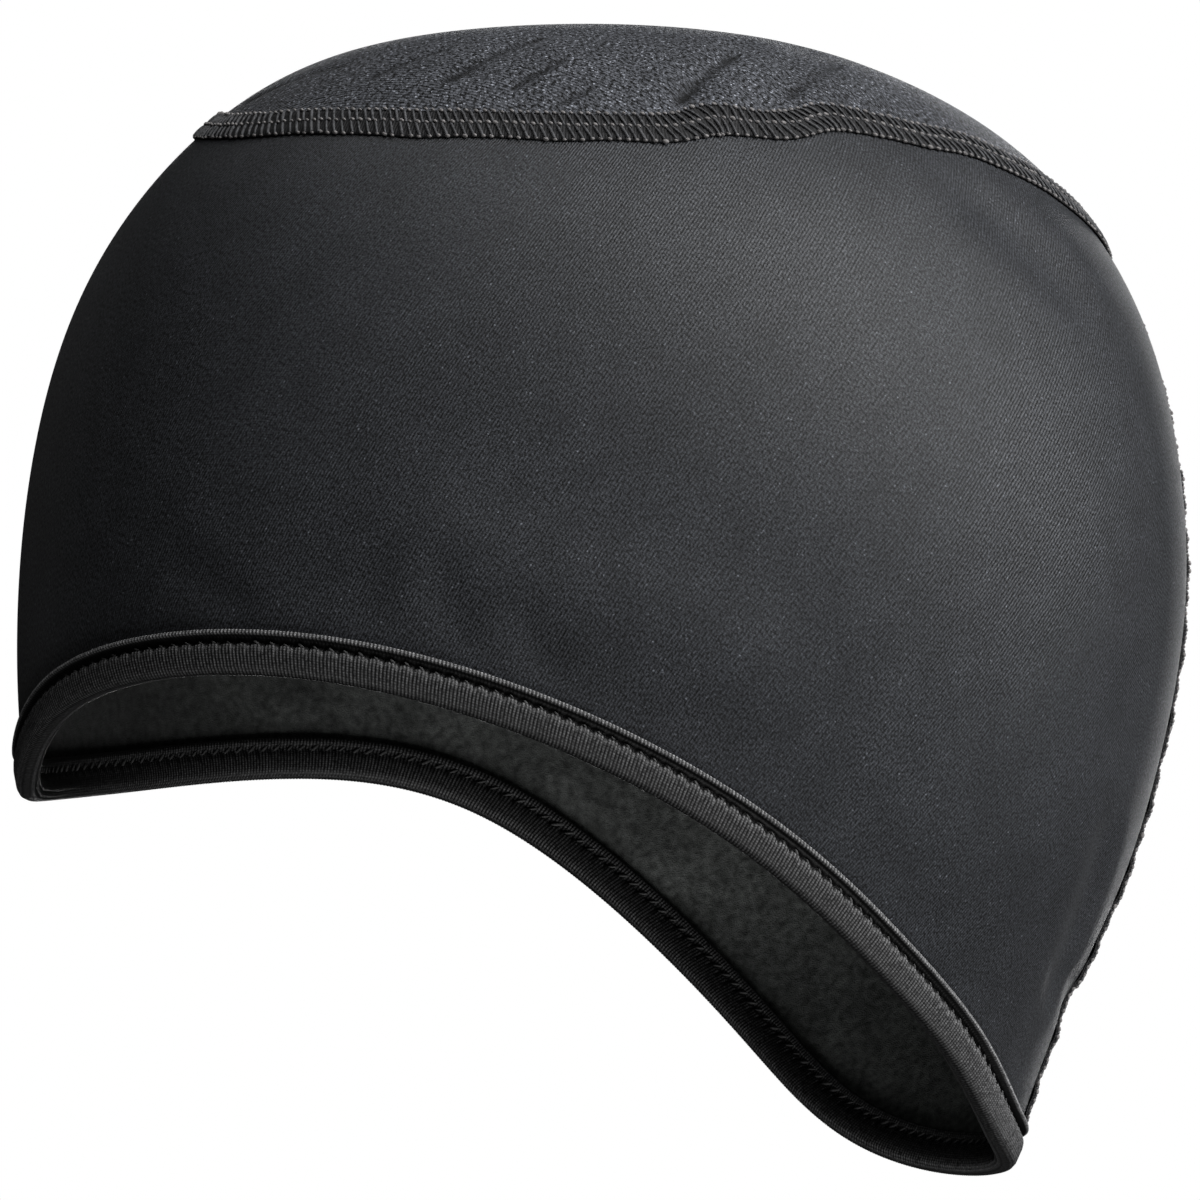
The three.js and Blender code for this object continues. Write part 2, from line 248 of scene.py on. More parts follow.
# %% Curves through a few values
def smooth_curve(places, values):
    """The natural cubic spline through some values, for whole arrays at once."""
    places = np.asarray(places, float)
    values = np.asarray(values, float)
    step = np.diff(places)
    count = len(places)
    matrix = np.eye(count)
    change = np.zeros(count)
    for i in range(1, count - 1):
        matrix[i, i - 1:i + 2] = step[i - 1], 2 * (step[i - 1] + step[i]), step[i]
        change[i] = 6 * ((values[i + 1] - values[i]) / step[i]
                         - (values[i] - values[i - 1]) / step[i - 1])
    bend = np.linalg.solve(matrix, change)

    def curve(at):
        i = np.clip(np.searchsorted(places, at) - 1, 0, count - 2)
        a = (places[i + 1] - at) / step[i]
        b = 1 - a
        arc = ((a ** 3 - a) * bend[i] + (b ** 3 - b) * bend[i + 1]) * step[i] ** 2 / 6
        return a * values[i] + b * values[i + 1] + arc
    return curve


def over_the_top(near, far):
    """A profile over the crown, from the lowest lift on one side to the lowest on the other."""
    lifts = [row[0] for row in PROFILE] + [180 - row[0] for row in PROFILE[-2::-1]]
    reaches = [row[near] for row in PROFILE] + [row[far] for row in PROFILE[-2::-1]]
    return smooth_curve(lifts, reaches)


def round_the_head(rows, left, right):
    """A level that runs once round the head and meets itself smoothly."""
    right_side = [(-row[0], row[right]) for row in rows[:0:-1]]
    once = right_side + [(row[0], row[left]) for row in rows[:-1]]
    turns = [turn + shift for shift in (-360, 0, 360) for turn, _ in once]
    return smooth_curve(turns, [value for _ in range(3) for _, value in once])


lengthwise_reach = over_the_top(1, 2)
sideways_reach = over_the_top(3, 3)
rim_share = round_the_head(RIM, 1, 2)
seam_share = round_the_head(SEAM_LINE, 1, 1)


def rim_level(turn):
    """How far the folded edge lies above the widest level, which is a negative height."""
    return -BROW_DROP - (NAPE_DROP - BROW_DROP) * rim_share(turn)


print("rim at", round(float(rim_level(0)), 4), "m at the brow and",
      round(float(rim_level(180)), 4), "m at the nape")


# %% The surface
def surface(turn, lift):
    """Points of the smooth outer surface, measured from the widest level."""
    around = np.radians(turn)
    up = np.radians(lift)
    ahead = np.cos(around)
    front = lengthwise_reach(lift)
    back = lengthwise_reach(180 - lift)
    lengthwise = (front + back) / 2 + (front - back) / 2 * np.sin(np.pi / 2 * ahead)
    oval = 1 / np.hypot(ahead / lengthwise, np.sin(around) / sideways_reach(lift))
    squareness = ((BROW_SQUARENESS + NAPE_SQUARENESS) / 2
                  + (BROW_SQUARENESS - NAPE_SQUARENESS) / 2 * ahead)
    reach = oval * (1 + squareness * (np.sin(2 * around) * np.cos(up)) ** 2)
    return np.stack((
        CAP_WIDTH / 2 * reach * np.cos(up) * np.sin(around),
        -CAP_LENGTH / 2 * reach * np.cos(up) * ahead,
        CROWN_RISE * reach * np.sin(up),
    ), axis=-1)


def place_towards(points):
    """The turn and lift in the direction of some points."""
    sideways = points[..., 0] / (CAP_WIDTH / 2)
    backward = points[..., 1] / (CAP_LENGTH / 2)
    upward = points[..., 2] / CROWN_RISE
    turn = np.degrees(np.arctan2(sideways, -backward))
    lift = np.degrees(np.arctan2(upward, np.hypot(sideways, backward)))
    return turn, lift


def unit(vectors):
    """The vectors at a length of one."""
    return vectors / np.maximum(np.linalg.norm(vectors, axis=-1, keepdims=True), 1e-12)


def outward(turn, lift):
    """The outward direction, from four points around each place."""
    nudge = 0.5
    along = surface(turn + nudge, lift) - surface(turn - nudge, lift)
    rising = surface(turn, lift + nudge) - surface(turn, lift - nudge)
    normal = unit(np.cross(along, rising))
    at_crown = np.asarray(lift)[..., None] > 90 - nudge
    return np.where(at_crown, np.array((0.0, 0.0, 1.0)), normal)


LOWEST_LIFT = -80.0
HIGHEST_LIFT = 89.0
HALVINGS = 32


def lift_at_level(turn, level):
    """The lift at which the surface reaches a level, found by halving the range."""
    low = np.full(np.shape(turn), LOWEST_LIFT)
    high = np.full(np.shape(turn), HIGHEST_LIFT)
    for _ in range(HALVINGS):
        middle = (low + high) / 2
        below = surface(turn, middle)[..., 2] < level
        low = np.where(below, middle, low)
        high = np.where(below, high, middle)
    return (low + high) / 2


def beside_line(level, turn, distance):
    """Places a distance above or below a line round the head, square to that line."""
    nudge = 1
    turns, which = np.unique(turn, return_inverse=True)
    which = which.reshape(np.shape(turn))
    lifts = lift_at_level(turns, level(turns))
    ahead = surface(turns + nudge, lift_at_level(turns + nudge, level(turns + nudge)))
    behind = surface(turns - nudge, lift_at_level(turns - nudge, level(turns - nudge)))
    across = unit(np.cross(outward(turns, lifts), ahead - behind))
    reach = np.broadcast_to(distance, np.shape(turn))[..., None]
    return place_towards(surface(turns, lifts)[which] + across[which] * reach)


def beside_centre_back(distance, lift):
    """Places at some lifts that lie a distance to the left of centre back, or to the right."""
    near = np.full(np.shape(lift), 180.0)
    far = np.full(np.shape(lift), 90.0)
    for _ in range(HALVINGS):
        middle = (near + far) / 2
        inside = surface(middle, lift)[..., 0] < np.abs(distance)
        near = np.where(inside, middle, near)
        far = np.where(inside, far, middle)
    return np.where(np.asarray(distance) < 0, -near, near), lift


print("widest half breadth", round(float(surface(90.0, 0.0)[0]), 4), "m")

# %% [markdown]
# ## Creases and the wavy seam
# The stretched cloth lies smooth, with short creases over the seam at the crown and soft puckers
# above the brow, the ear and the nape. The stitching also draws the seam into small waves. A
# crease is a line between two places on the surface, and the cloth sinks or rises beside it.

# %% Creases
CREASE_WIDTH = 5 * MM
CREASE_DEPTH = 1 * MM
# how strongly the cloth beside a crease swells the other way
SIDE_SWELL = 1.2

# turn and lift at each end, then half width and depth as shares of CREASE_WIDTH and CREASE_DEPTH
CREASES = [
    (98, 47, 111, 58, 1.1, 0.5),
    (110, 49, 128, 60, 1.4, 0.5),
    (66, 50, 76, 60, 0.9, 0.3),
    (133, 34, 142, 27, 1.8, 0.9),
    (44, -3, 50, -8, 1.1, 0.5),
    (71, -6, 72, -11, 1, 0.4),
    (79, -11, 81, -15, 1, 0.4),
    (70, -3, 98, -14, 2.8, -0.7),
    (170, -40, 190, -42, 1.2, 0.7),
    (156, -27, 161, -40, 1.4, 1.1),
    (-102, 48, -124, 62, 1.8, 0.5),
    (-70, 50, -80, 60, 1.6, 0.4),
    (-60, -4, -66, -9, 1.8, 0.5),
    (-92, -10, -100, -19, 1.8, 0.9),
]

# folds as thin as a line: turn and lift at each end, then a share that sets how deep each is
# and how dark its painted shade is
FOLDS = [
    (96.5, 46, 108.5, 56, 1),
    (112.5, 47.5, 129.5, 56, 0.7),
    (64.5, 49, 75, 60, 0.9),
    (74.5, 47.5, 80, 53, 0.7),
    (81, 45, 85, 47.5, 0.5),
    (25, 50, 43, 53.5, 0.8),
    (52, 50, 60, 56, 0.6),
]
FOLD_WIDTH = 0.95 * MM
FOLD_DEPTH = 0.4 * MM
# a fold's half width at its start, in FOLD_WIDTH, and how much of it is gone at its end
FOLD_START = 1.3
FOLD_TAPER = 0.5

# the crown seam's small waves: turn, half width in degrees, rise in millimetres, share it widens
SEAM_WAVES = [
    (110, 22, -1.2, 0),
    (81, 4, -0.1, 0.1),
    (93.5, 3.5, -0.45, 0.1),
    (100, 3, 1.05, 0.3),
    (108.5, 3.5, -0.8, 0.1),
    (116, 3.5, 0.9, 0.1),
    (129, 5, -1, 0),
    (48, 6, 0.3, 0),
    (64, 4, -0.3, 0.1),
    (150, 4, 0.4, 0),
    (-98, 4, 0.8, 0.2),
    (-108, 4, -0.7, 0),
    (-60, 5, 0.4, 0.1),
]


def seam_wave(turn, column):
    """One column of the waves, summed at some turns."""
    whole = 0
    for row in SEAM_WAVES:
        away = (turn - row[0] + 180) % 360 - 180
        whole = whole + row[column] * np.exp(-(away / row[1]) ** 2)
    return whole


def seam_level(turn):
    """The height of the crown seam over the widest level."""
    return SEAM_RISE * seam_share(turn) + seam_wave(turn, 2) * MM


def smoothstep(value, low, high):
    """A smooth ramp from 0 at low to 1 at high."""
    share = np.clip((value - low) / (high - low), 0, 1)
    return share * share * (3 - 2 * share)


def distance_to_line(points, start, end):
    """How far each point lies from a straight line between two ends."""
    along = end - start
    share = np.clip((points - start) @ along / (along @ along), 0, 1)
    return np.linalg.norm(points - start - share[..., None] * along, axis=-1)


def fold_share(points):
    """How far into a thin fold each point lies, from 0 to 1."""
    share = np.zeros(points.shape[:-1])
    for turn_a, lift_a, turn_b, lift_b, depth_and_shade in FOLDS:
        start = surface(np.float64(turn_a), np.float64(lift_a))
        end = surface(np.float64(turn_b), np.float64(lift_b))
        away = distance_to_line(points, start, end)
        reach = np.linalg.norm(points - start, axis=-1) / np.linalg.norm(end - start)
        narrow = FOLD_WIDTH * (FOLD_START - FOLD_TAPER * np.clip(reach, 0, 1))
        share = np.maximum(share, depth_and_shade * np.exp(-(away / narrow) ** 2))
    return share


def crease_height(points, turn):
    """How far the creases lift or sink the cloth, which lies smooth beside the binding."""
    height = -FOLD_DEPTH * fold_share(points)
    for turn_a, lift_a, turn_b, lift_b, width, depth in CREASES:
        start = surface(np.float64(turn_a), np.float64(lift_a))
        end = surface(np.float64(turn_b), np.float64(lift_b))
        beside = (distance_to_line(points, start, end) / (width * CREASE_WIDTH)) ** 2
        height -= depth * CREASE_DEPTH * (1 - SIDE_SWELL * beside) * np.exp(-beside)
    free = smoothstep(points[..., 2] - rim_level(turn), BINDING_HEIGHT, 2 * BINDING_HEIGHT)
    return height * free


def at_height(turn, lift, height):
    """Points at a height over the creased outer surface, in the frame of the CAD model."""
    points = surface(turn, lift)
    total = crease_height(points, turn) + height
    points = points + outward(turn, lift) * np.asarray(total)[..., None]
    return points + np.array((0, 0, LOWERING))


print(len(CREASES), "creases,", len(FOLDS), "thin folds and", len(SEAM_WAVES), "waves of the seam")


# %% [markdown]
# ## Cloth from a grid
# A grid is one operator's work, and its vertices then move to their places on the surface. Where
# the grid closes round the head its two edges meet and are merged. The texture coordinates are the
# lengths along the cloth in metres, so that the knit keeps its real size everywhere.

# %% Grids on the surface
MERGE_DISTANCE = 0.01 * MM


def smooth_piece(bm, name):
    """A finished piece with smooth shading."""
    piece = object_from(bm, name)
    piece.data.shade_smooth()
    print(name, "has", len(piece.data.polygons), "faces")
    return piece


def shaped_grid(name, columns, rows, shape):
    """A grid whose vertices shape() moves, from their shares round and across it."""
    bm = bmesh.new()
    bmesh.ops.create_grid(bm, x_segments=columns, y_segments=rows, size=1)
    flat = np.array([vert.co for vert in bm.verts])
    column = np.rint((flat[:, 0] + 1) / 2 * columns).astype(int)
    row = np.rint((flat[:, 1] + 1) / 2 * rows).astype(int)
    points, lengths = shape(column / columns, row / rows, column, row)
    layer = bm.loops.layers.uv.new("cloth")
    for vert, point in zip(bm.verts, points):
        vert.co = point
    for face in bm.faces:
        for loop in face.loops:
            loop[layer].uv = lengths[loop.vert.index]
    bmesh.ops.remove_doubles(bm, verts=bm.verts, dist=MERGE_DISTANCE)
    bmesh.ops.recalc_face_normals(bm, faces=bm.faces)
    return smooth_piece(bm, name)


def grid_lengths(points, column, row):
    """The length along each row from the first column, and up each column from the first row."""
    net = np.empty((column.max() + 1, row.max() + 1, 3))
    net[column, row] = points
    middle = net[:, net.shape[1] // 2]
    round_it = np.concatenate(([0], np.cumsum(np.linalg.norm(np.diff(middle, axis=0), axis=1))))
    rising = np.cumsum(np.linalg.norm(np.diff(net, axis=1), axis=2), axis=1)
    up_it = np.concatenate((np.zeros((len(net), 1)), rising), axis=1)
    return np.stack((round_it[column], up_it[column, row]), axis=1)


def faces_outward(piece):
    """Turns a single skin's faces away from the middle of the cap."""
    bm = bmesh.new()
    bm.from_mesh(piece.data)
    bm.normal_update()
    facing = sum(face.normal.dot(face.calc_center_median() - MIDDLE) for face in bm.faces)
    if facing < 0:
        bmesh.ops.reverse_faces(bm, faces=bm.faces)
    bm.to_mesh(piece.data)
    bm.free()


# %% The side band
COLUMNS = 400
ROWS = 96
FOLD_CLEARANCE = BINDING_CLOTH + GAP
SEAM_EDGE = SEAM_CORE / 2 + GAP


def side_band_shape(around, up, column, row):
    """From the binding up to the crown seam, open by the back seam's core at the back."""
    turns = np.linspace(-180, 180, COLUMNS + 1)
    low_turn, low_lift = beside_line(rim_level, turns, np.full(COLUMNS + 1, FOLD_CLEARANCE))
    high_turn, high_lift = beside_line(seam_level, turns, np.full(COLUMNS + 1, -SEAM_EDGE))
    low_turn[0], high_turn[0] = -180, -180
    low_turn[-1], high_turn[-1] = 180, 180
    turn = low_turn[column] + (high_turn - low_turn)[column] * up
    lift = low_lift[column] + (high_lift - low_lift)[column] * up
    edge, _ = beside_centre_back(SEAM_EDGE, lift)
    points = at_height(turn * edge / 180, lift, 0)
    return points, grid_lengths(points, column, row)


side_band = shaped_grid("side_band_cloth", COLUMNS, ROWS, side_band_shape)
faces_outward(side_band)

# %% [markdown]
# The top panel has the narrowest creases, on its left side near the seam. Its columns crowd
# together there, and its rings crowd towards its edge.

# %% The top panel
TOP_COLUMNS = 520
RINGS = 88
CROWDING = 28
CROWDED_TURN = 80
RING_CROWDING = 0.4


def crowded_turns(columns):
    """Turns round the head that lie closest together on the left side."""
    even = np.linspace(-180, 180, columns + 1)
    at_back = math.sin(math.radians(180 - CROWDED_TURN))
    return even - CROWDING * (np.sin(np.radians(even - CROWDED_TURN)) - at_back)


def top_panel_shape(around, up, column, row):
    """From the crown seam to the top, where the last ring closes. The knit is laid in plan."""
    turns = crowded_turns(TOP_COLUMNS)
    low_turn, low_lift = beside_line(seam_level, turns, np.full(TOP_COLUMNS + 1, SEAM_EDGE))
    low_turn[0], low_turn[-1] = -180, 180
    rise = up * (1 - RING_CROWDING + RING_CROWDING * up)
    lift = low_lift[column] + (90 - low_lift)[column] * rise
    points = at_height(low_turn[column], lift, 0)
    return points, points[:, :2].copy()


top_panel = shaped_grid("top_panel_cloth", TOP_COLUMNS, RINGS, top_panel_shape)
faces_outward(top_panel)


def mark_fold_shade(piece):
    """Keeps each vertex's share of a fold, so that the finish can paint shade into it."""
    spots = np.array([vert.co for vert in piece.data.vertices]) - (0, 0, LOWERING)
    turn, lift = place_towards(spots)
    shares = fold_share(surface(turn, lift))
    piece.data.attributes.new("fold", "FLOAT", "POINT").data.foreach_set("value", shares)


mark_fold_shade(side_band)
mark_fold_shade(top_panel)

# %% [markdown]
# The Solidify modifier gives the cloth its thickness inward, so the outer face stays where the
# surface is. Its inner face takes the second material, which is the brushed side.

# %% Thickness of the cloth
for cloth in (side_band, top_panel):
    wall = cloth.modifiers.new("thickness", "SOLIDIFY")
    wall.thickness = CLOTH
    wall.offset = -1
    wall.use_even_offset = True
    wall.material_offset = 1
    wall.material_offset_rim = 1
print("cloth", CLOTH / MM, "mm thick")

# %% [markdown]
# ## The flat seams
# A flatlock seam lays many threads side by side over two cloth edges that only meet. A low band
# stands for the bed of threads, and real stitches lie on it: three rows of short bright loops, with
# slanting threads that run from row to row.

# %% Lengths along a line
PLACES_A_DEGREE = 8


def evenly_along(level, pitch):
    """The length of a closed line, its whole number of pitches, and the turn at each length."""
    dense = np.linspace(-180, 180, 360 * PLACES_A_DEGREE + 1)
    points = surface(dense, lift_at_level(dense, level(dense)))
    lengths = np.concatenate(([0], np.cumsum(np.linalg.norm(np.diff(points, axis=0), axis=1))))
    count = round(lengths[-1] / pitch)

    def turn_at(length):
        return np.interp(length % lengths[-1], lengths, dense)
    return lengths[-1], count, turn_at


STITCH_PITCH = 1.5 * MM
# how much wider the seam lies than its section
SEAM_SPREAD = 1.1
seam_length, seam_count, seam_turn = evenly_along(seam_level, STITCH_PITCH)
seam_steps = np.arange(seam_count) * seam_length / seam_count
print("crown seam", round(seam_length, 4), "m with", seam_count, "stitches in a row")


def on_crown_seam(length, across, height):
    """Points on the crown seam, which is wider where it waves."""
    middle = seam_turn(length)
    turn, lift = beside_line(seam_level, middle, across * (SEAM_SPREAD + seam_wave(middle, 3)))
    return at_height(turn, lift, height)


# %% The line down centre back
BACK_PLACES = 800
# lumps of the back seam's face: height and length in millimetres, and where each wave starts
LUMPS = [
    (0.15, 2.3, 0),
    (0.13, 0.87, 1),
]
# from below the rim to above the crown seam
back_lifts = np.linspace(-58, 44, BACK_PLACES)
back_points = surface(np.full(BACK_PLACES, 180.0), back_lifts)
back_steps_between = np.linalg.norm(np.diff(back_points, axis=0), axis=1)
back_lengths = np.concatenate(([0], np.cumsum(back_steps_between)))
back_low = float(lift_at_level(np.float64(180), rim_level(180.0)))
back_high = float(lift_at_level(np.float64(180), seam_level(180.0)))
back_start = np.interp(back_low, back_lifts, back_lengths) + BINDING_HEIGHT + GAP
back_end = np.interp(back_high, back_lifts, back_lengths) - SEAM_WIDTH / 2 - GAP
back_length = back_end - back_start
back_count = round(back_length / STITCH_PITCH)
back_steps = (np.arange(back_count) + 0.5) * back_length / back_count
print("back seam", round(float(back_length), 4), "m with", back_count, "stitches in a row")


def on_back_seam(length, across, height):
    """Points on the back seam, whose face is lumpy where the thread lies loose."""
    lift = np.interp(length + back_start, back_lengths, back_lifts)
    turn, lift = beside_centre_back(np.asarray(across), lift)
    lumps = sum(high * np.sin(length / (long * MM) + start) for high, long, start in LUMPS)
    return at_height(turn, lift, height + np.where(height > 0, lumps, 0) * MM)


# %% The bed of threads
# across the seam and outward in millimetres, and the share of the threads' relief
SEAM_SECTION = [
    (-2.85, 0.2, 0),
    (-2.65, 0.4, 0.5),
    (-2.3, 0.55, 1),
    (-1.8, 0.62, 1),
    (-1.2, 0.55, 1),
    (-0.6, 0.62, 1),
    (0, 0.7, 1),
    (0.6, 0.62, 1),
    (1.2, 0.55, 1),
    (1.8, 0.62, 1),
    (2.3, 0.55, 1),
    (2.65, 0.4, 0.5),
    (2.85, 0.2, 0),
    (0.5, 0.3, 0),
    (0.5, -1.5, 0),
    (3.0, -1.55, 0),
    (2.7, -2.1, 1),
    (1.4, -2.15, 1),
    (0, -2.1, 1),
    (-1.4, -2.15, 1),
    (-2.7, -2.1, 1),
    (-3.0, -1.55, 0),
    (-0.5, -1.5, 0),
    (-0.5, 0.3, 0),
]
THREAD_RELIEF = 0.07 * MM
THREAD_PITCH = 0.5 * MM
THREAD_LEAN = 0.5
COLUMNS_A_STITCH = 9
# texture coordinates are moved up by this length outside and down by it inside, so that a finish
# can tell the two sides apart
SIDE_SHIFT = 0.02


def bed_shape(on_seam, length):
    """A shape for a grid that runs along a seam and closes round its section."""
    section = np.array(SEAM_SECTION + SEAM_SECTION[:1])
    pitch = length / round(length / THREAD_PITCH)

    def shape(around, up, column, row):
        along = around * length
        across = section[row, 0] * MM
        relief = np.cos(2 * np.pi * (along + THREAD_LEAN * across) / pitch) * THREAD_RELIEF
        sign = np.where(section[row, 1] < -1, -1, 1)
        height = section[row, 1] * MM + relief * section[row, 2] * sign
        points = on_seam(along, across, height)
        return points, np.stack((along, across + sign * SIDE_SHIFT), axis=1)
    return shape


crown_bed = shaped_grid("crown_seam_bed", seam_count * COLUMNS_A_STITCH, len(SEAM_SECTION),
                        bed_shape(on_crown_seam, seam_length))
back_bed = shaped_grid("back_seam_bed", back_count * COLUMNS_A_STITCH, len(SEAM_SECTION),
                       bed_shape(on_back_seam, back_length))


def close_ends(piece):
    """Caps the two open ends of a strip."""
    bm = bmesh.new()
    bm.from_mesh(piece.data)
    bmesh.ops.holes_fill(bm, edges=[edge for edge in bm.edges if edge.is_boundary], sides=0)
    bmesh.ops.recalc_face_normals(bm, faces=bm.faces)
    bm.to_mesh(piece.data)
    bm.free()


close_ends(back_bed)

# %% [markdown]
# The machine lays its loops in rows, and no two loops are quite alike. A stitch is a small ball of
# a few dozen faces, stretched along the row, moved a little at random and joined into one mesh.

# %% Stitches
rng = np.random.default_rng(7)
STITCH_WANDER = 0.08 * MM
STITCH_UNEVENNESS = 0.12
# how far off the next place on the seam is that a stitch points to
STITCH_AIM = 0.3 * MM


def stitch_template():
    """One small ball that every stitch is a stretched copy of."""
    bm = bmesh.new()
    bmesh.ops.create_uvsphere(bm, u_segments=8, v_segments=6, radius=1)
    mesh = bpy.data.meshes.new("stitch_template")
    bm.to_mesh(mesh)
    bm.free()
    return mesh


ball = stitch_template()


def stitch_row(bm, on_seam, steps, across, height, size, slant):
    """Short loops of thread in a row, each a small stretched ball that lies on the bed."""
    half_length, half_width, half_height = size
    count = len(steps)
    jitter = rng.normal(0, STITCH_WANDER, (count, 2))
    lengths = steps + jitter[:, 0]
    offset = np.full(count, across) + jitter[:, 1]
    level = np.full(count, height)
    middle = on_seam(lengths, offset, level)
    ahead = on_seam(lengths + STITCH_AIM, offset - slant * STITCH_AIM, level)
    over = on_seam(lengths, offset, np.full(count, height + STITCH_AIM))
    along = unit(ahead - middle)
    normal = unit(over - middle)
    side = unit(np.cross(normal, along))
    grow = 1 + rng.normal(0, STITCH_UNEVENNESS, count)
    for i in range(count):
        matrix = Matrix.Identity(4)
        matrix.col[0][:3] = side[i] * half_width * grow[i]
        matrix.col[1][:3] = normal[i] * half_height * grow[i]
        matrix.col[2][:3] = along[i] * half_length * grow[i]
        matrix.col[3][:3] = middle[i]
        stitch = ball.copy()
        stitch.transform(matrix)
        bm.from_mesh(stitch)
        bpy.data.meshes.remove(stitch)


ROW_ACROSS = [-2.75 * MM, -0.1 * MM, 2.55 * MM]
ROW_HEIGHT = [0.5 * MM, 0.85 * MM, 0.75 * MM]
ROW_SHIFT = [0, 0.35, 0.7]
STITCH_SIZE = (0.44 * MM, 0.29 * MM, 0.28 * MM)
STITCH_SLANT = 0.35


def stitches(name, on_seam, steps):
    """Three rows of stitches, each a part of a pitch ahead of the row before."""
    bm = bmesh.new()
    for shift, across, height in zip(ROW_SHIFT, ROW_ACROSS, ROW_HEIGHT):
        stitch_row(bm, on_seam, steps + shift * STITCH_PITCH, across, height, STITCH_SIZE,
                   STITCH_SLANT)
    return smooth_piece(bm, name)


crown_stitches = stitches("crown_seam_stitches", on_crown_seam, seam_steps)
back_stitches = stitches("back_seam_stitches", on_back_seam, back_steps[:-1])


# %% Slanting threads between the rows
CROSSING_RADIUS = 0.24 * MM
CROSSING_HEIGHT = 0.62 * MM
CROSSING_ARCH = 0.18 * MM
CROSSING_WANDER = 0.12 * MM
CROSSING_REACH = 0.9 * STITCH_PITCH


def crossing_threads(name, on_seam, steps):
    """Thin threads from row to row, as one curve object with a round bevel."""
    curve = bpy.data.curves.new(name, "CURVE")
    curve.dimensions = "3D"
    curve.bevel_depth = CROSSING_RADIUS
    curve.bevel_resolution = 1
    curve.use_fill_caps = True
    shares = np.linspace(0, 1, 4)
    height = CROSSING_HEIGHT + CROSSING_ARCH * np.sin(np.pi * shares)
    for start, end in zip(ROW_ACROSS, ROW_ACROSS[1:]):
        wander = rng.normal(0, CROSSING_WANDER, len(steps))
        thickness = rng.uniform(0.75, 1.2, len(steps))
        lengths = (steps + wander)[:, None] - shares * CROSSING_REACH
        across = np.broadcast_to(start + (end - start) * shares, lengths.shape)
        threads = on_seam(lengths, across, np.broadcast_to(height, lengths.shape))
        for points, thick in zip(threads, thickness):
            spline = curve.splines.new("POLY")
            spline.points.add(len(points) - 1)
            for spot, point in zip(spline.points, points):
                spot.co = (*point, 1)
                spot.radius = thick
    print(name, "has", len(curve.splines), "threads")
    return link_object(bpy.data.objects.new(name, curve))


crown_crossings = crossing_threads("crown_seam_crossings", on_crown_seam, seam_steps)
back_crossings = crossing_threads("back_seam_crossings", on_back_seam, back_steps[1:-1])

# %% [markdown]
# ## The ribbed binding
# The binding is one narrow ribbed strip, folded over the cloth's edge and sewn through. Its upper
# edge rolls outward, a groove beneath it holds the stitches, and each stitch pulls a small notch
# into the band's edge. The strip is one grid that closes on itself both ways, round the head and
# round its section.

# %% Binding
# up from the folded edge and outward in millimetres, the share of rib relief, the stitches' pull
BINDING_SECTION = [
    (7.6, 0.35, 0, 0),
    (7.6, 0.9, 0.8, 0),
    (7.4, 1.35, 1.4, 0),
    (7.0, 1.5, 1.4, 0),
    (6.65, 1.15, 1, 0),
    (6.45, 0.6, 0.4, 0),
    (6.1, 0.4, 0, 0),
    (5.6, 0.4, 0, 0.1),
    (5.3, 0.75, 0.5, 1),
    (5.15, 1.2, 1, 1),
    (4.7, 1.5, 1, 0.6),
    (3.8, 1.58, 1, 0.1),
    (2.6, 1.52, 1, 0),
    (1.4, 1.42, 1, 0),
    (0.6, 1.1, 1, 0),
    (0.1, 0.35, 0.8, 0),
    (0.0, -0.6, 0.8, 0),
    (0.1, -1.5, 0.8, 0),
    (0.6, -2.2, 1, 0),
    (1.6, -2.55, 1, 0),
    (3.2, -2.6, 1, 0),
    (4.5, -2.5, 1, 0.5),
    (5.3, -1.95, 0.4, 1),
    (6.0, -2.4, 0.8, 0.3),
    (7.0, -2.55, 1, 0),
    (7.5, -1.6, 0, 0),
    (1.2, -1.5, 0, 0),
    (1.2, 0.3, 0, 0),
]
RIB_PITCH = 0.62 * MM
RIB_RELIEF = 0.14 * MM
RIB_LEAN = 0.15
SCALLOP = 0.32 * MM
BINDING_STITCH = 2.5 * MM
STITCH_PULL = 0.3 * MM
PULL_WIDTH = 0.4 * MM
COLUMNS_A_RIB = 4

rim_length, rib_count, rim_turn = evenly_along(rim_level, RIB_PITCH)
binding_count = round(rim_length / BINDING_STITCH)
binding_pitch = rim_length / binding_count
print("rim", round(rim_length, 4), "m with", rib_count, "ribs and", binding_count, "stitches")


def on_rim(length, up, height):
    """Points at a length round the rim, up from its edge and outward."""
    turn, lift = beside_line(rim_level, rim_turn(length), up)
    return at_height(turn, lift, height)


def binding_shape(around, across, column, row):
    """The section with its ribs, drawn in and down at each stitch."""
    section = np.array(BINDING_SECTION + BINDING_SECTION[:1])
    up = section[row, 0] * MM
    out = section[row, 1] * MM
    along = around * rim_length
    sign = np.where(out < -0.6 * MM, -1, 1)
    ribs = np.cos(2 * np.pi * (around * rib_count + RIB_LEAN * up / RIB_PITCH))
    from_stitch = (along + binding_pitch / 2) % binding_pitch - binding_pitch / 2
    pull = np.exp(-(from_stitch / PULL_WIDTH) ** 2)
    relief = ribs * RIB_RELIEF * section[row, 2] - pull * STITCH_PULL * section[row, 3]
    lowered = up - pull * SCALLOP * section[row, 3]
    points = on_rim(along, lowered, out + sign * relief)
    return points, np.stack((along, up + sign * SIDE_SHIFT), axis=1)


binding = shaped_grid("rim_binding_strip", rib_count * COLUMNS_A_RIB, len(BINDING_SECTION),
                      binding_shape)


# %% The binding's stitches
# up from the edge, outward, half length, half width and half height in millimetres, and the slant
RIM_STITCH_ROWS = [
    (5.35, 0.85, 0.55, 0.2, 0.2, 0.6),
    (5.3, -2.3, 0.95, 0.25, 0.22, 0.9),
]


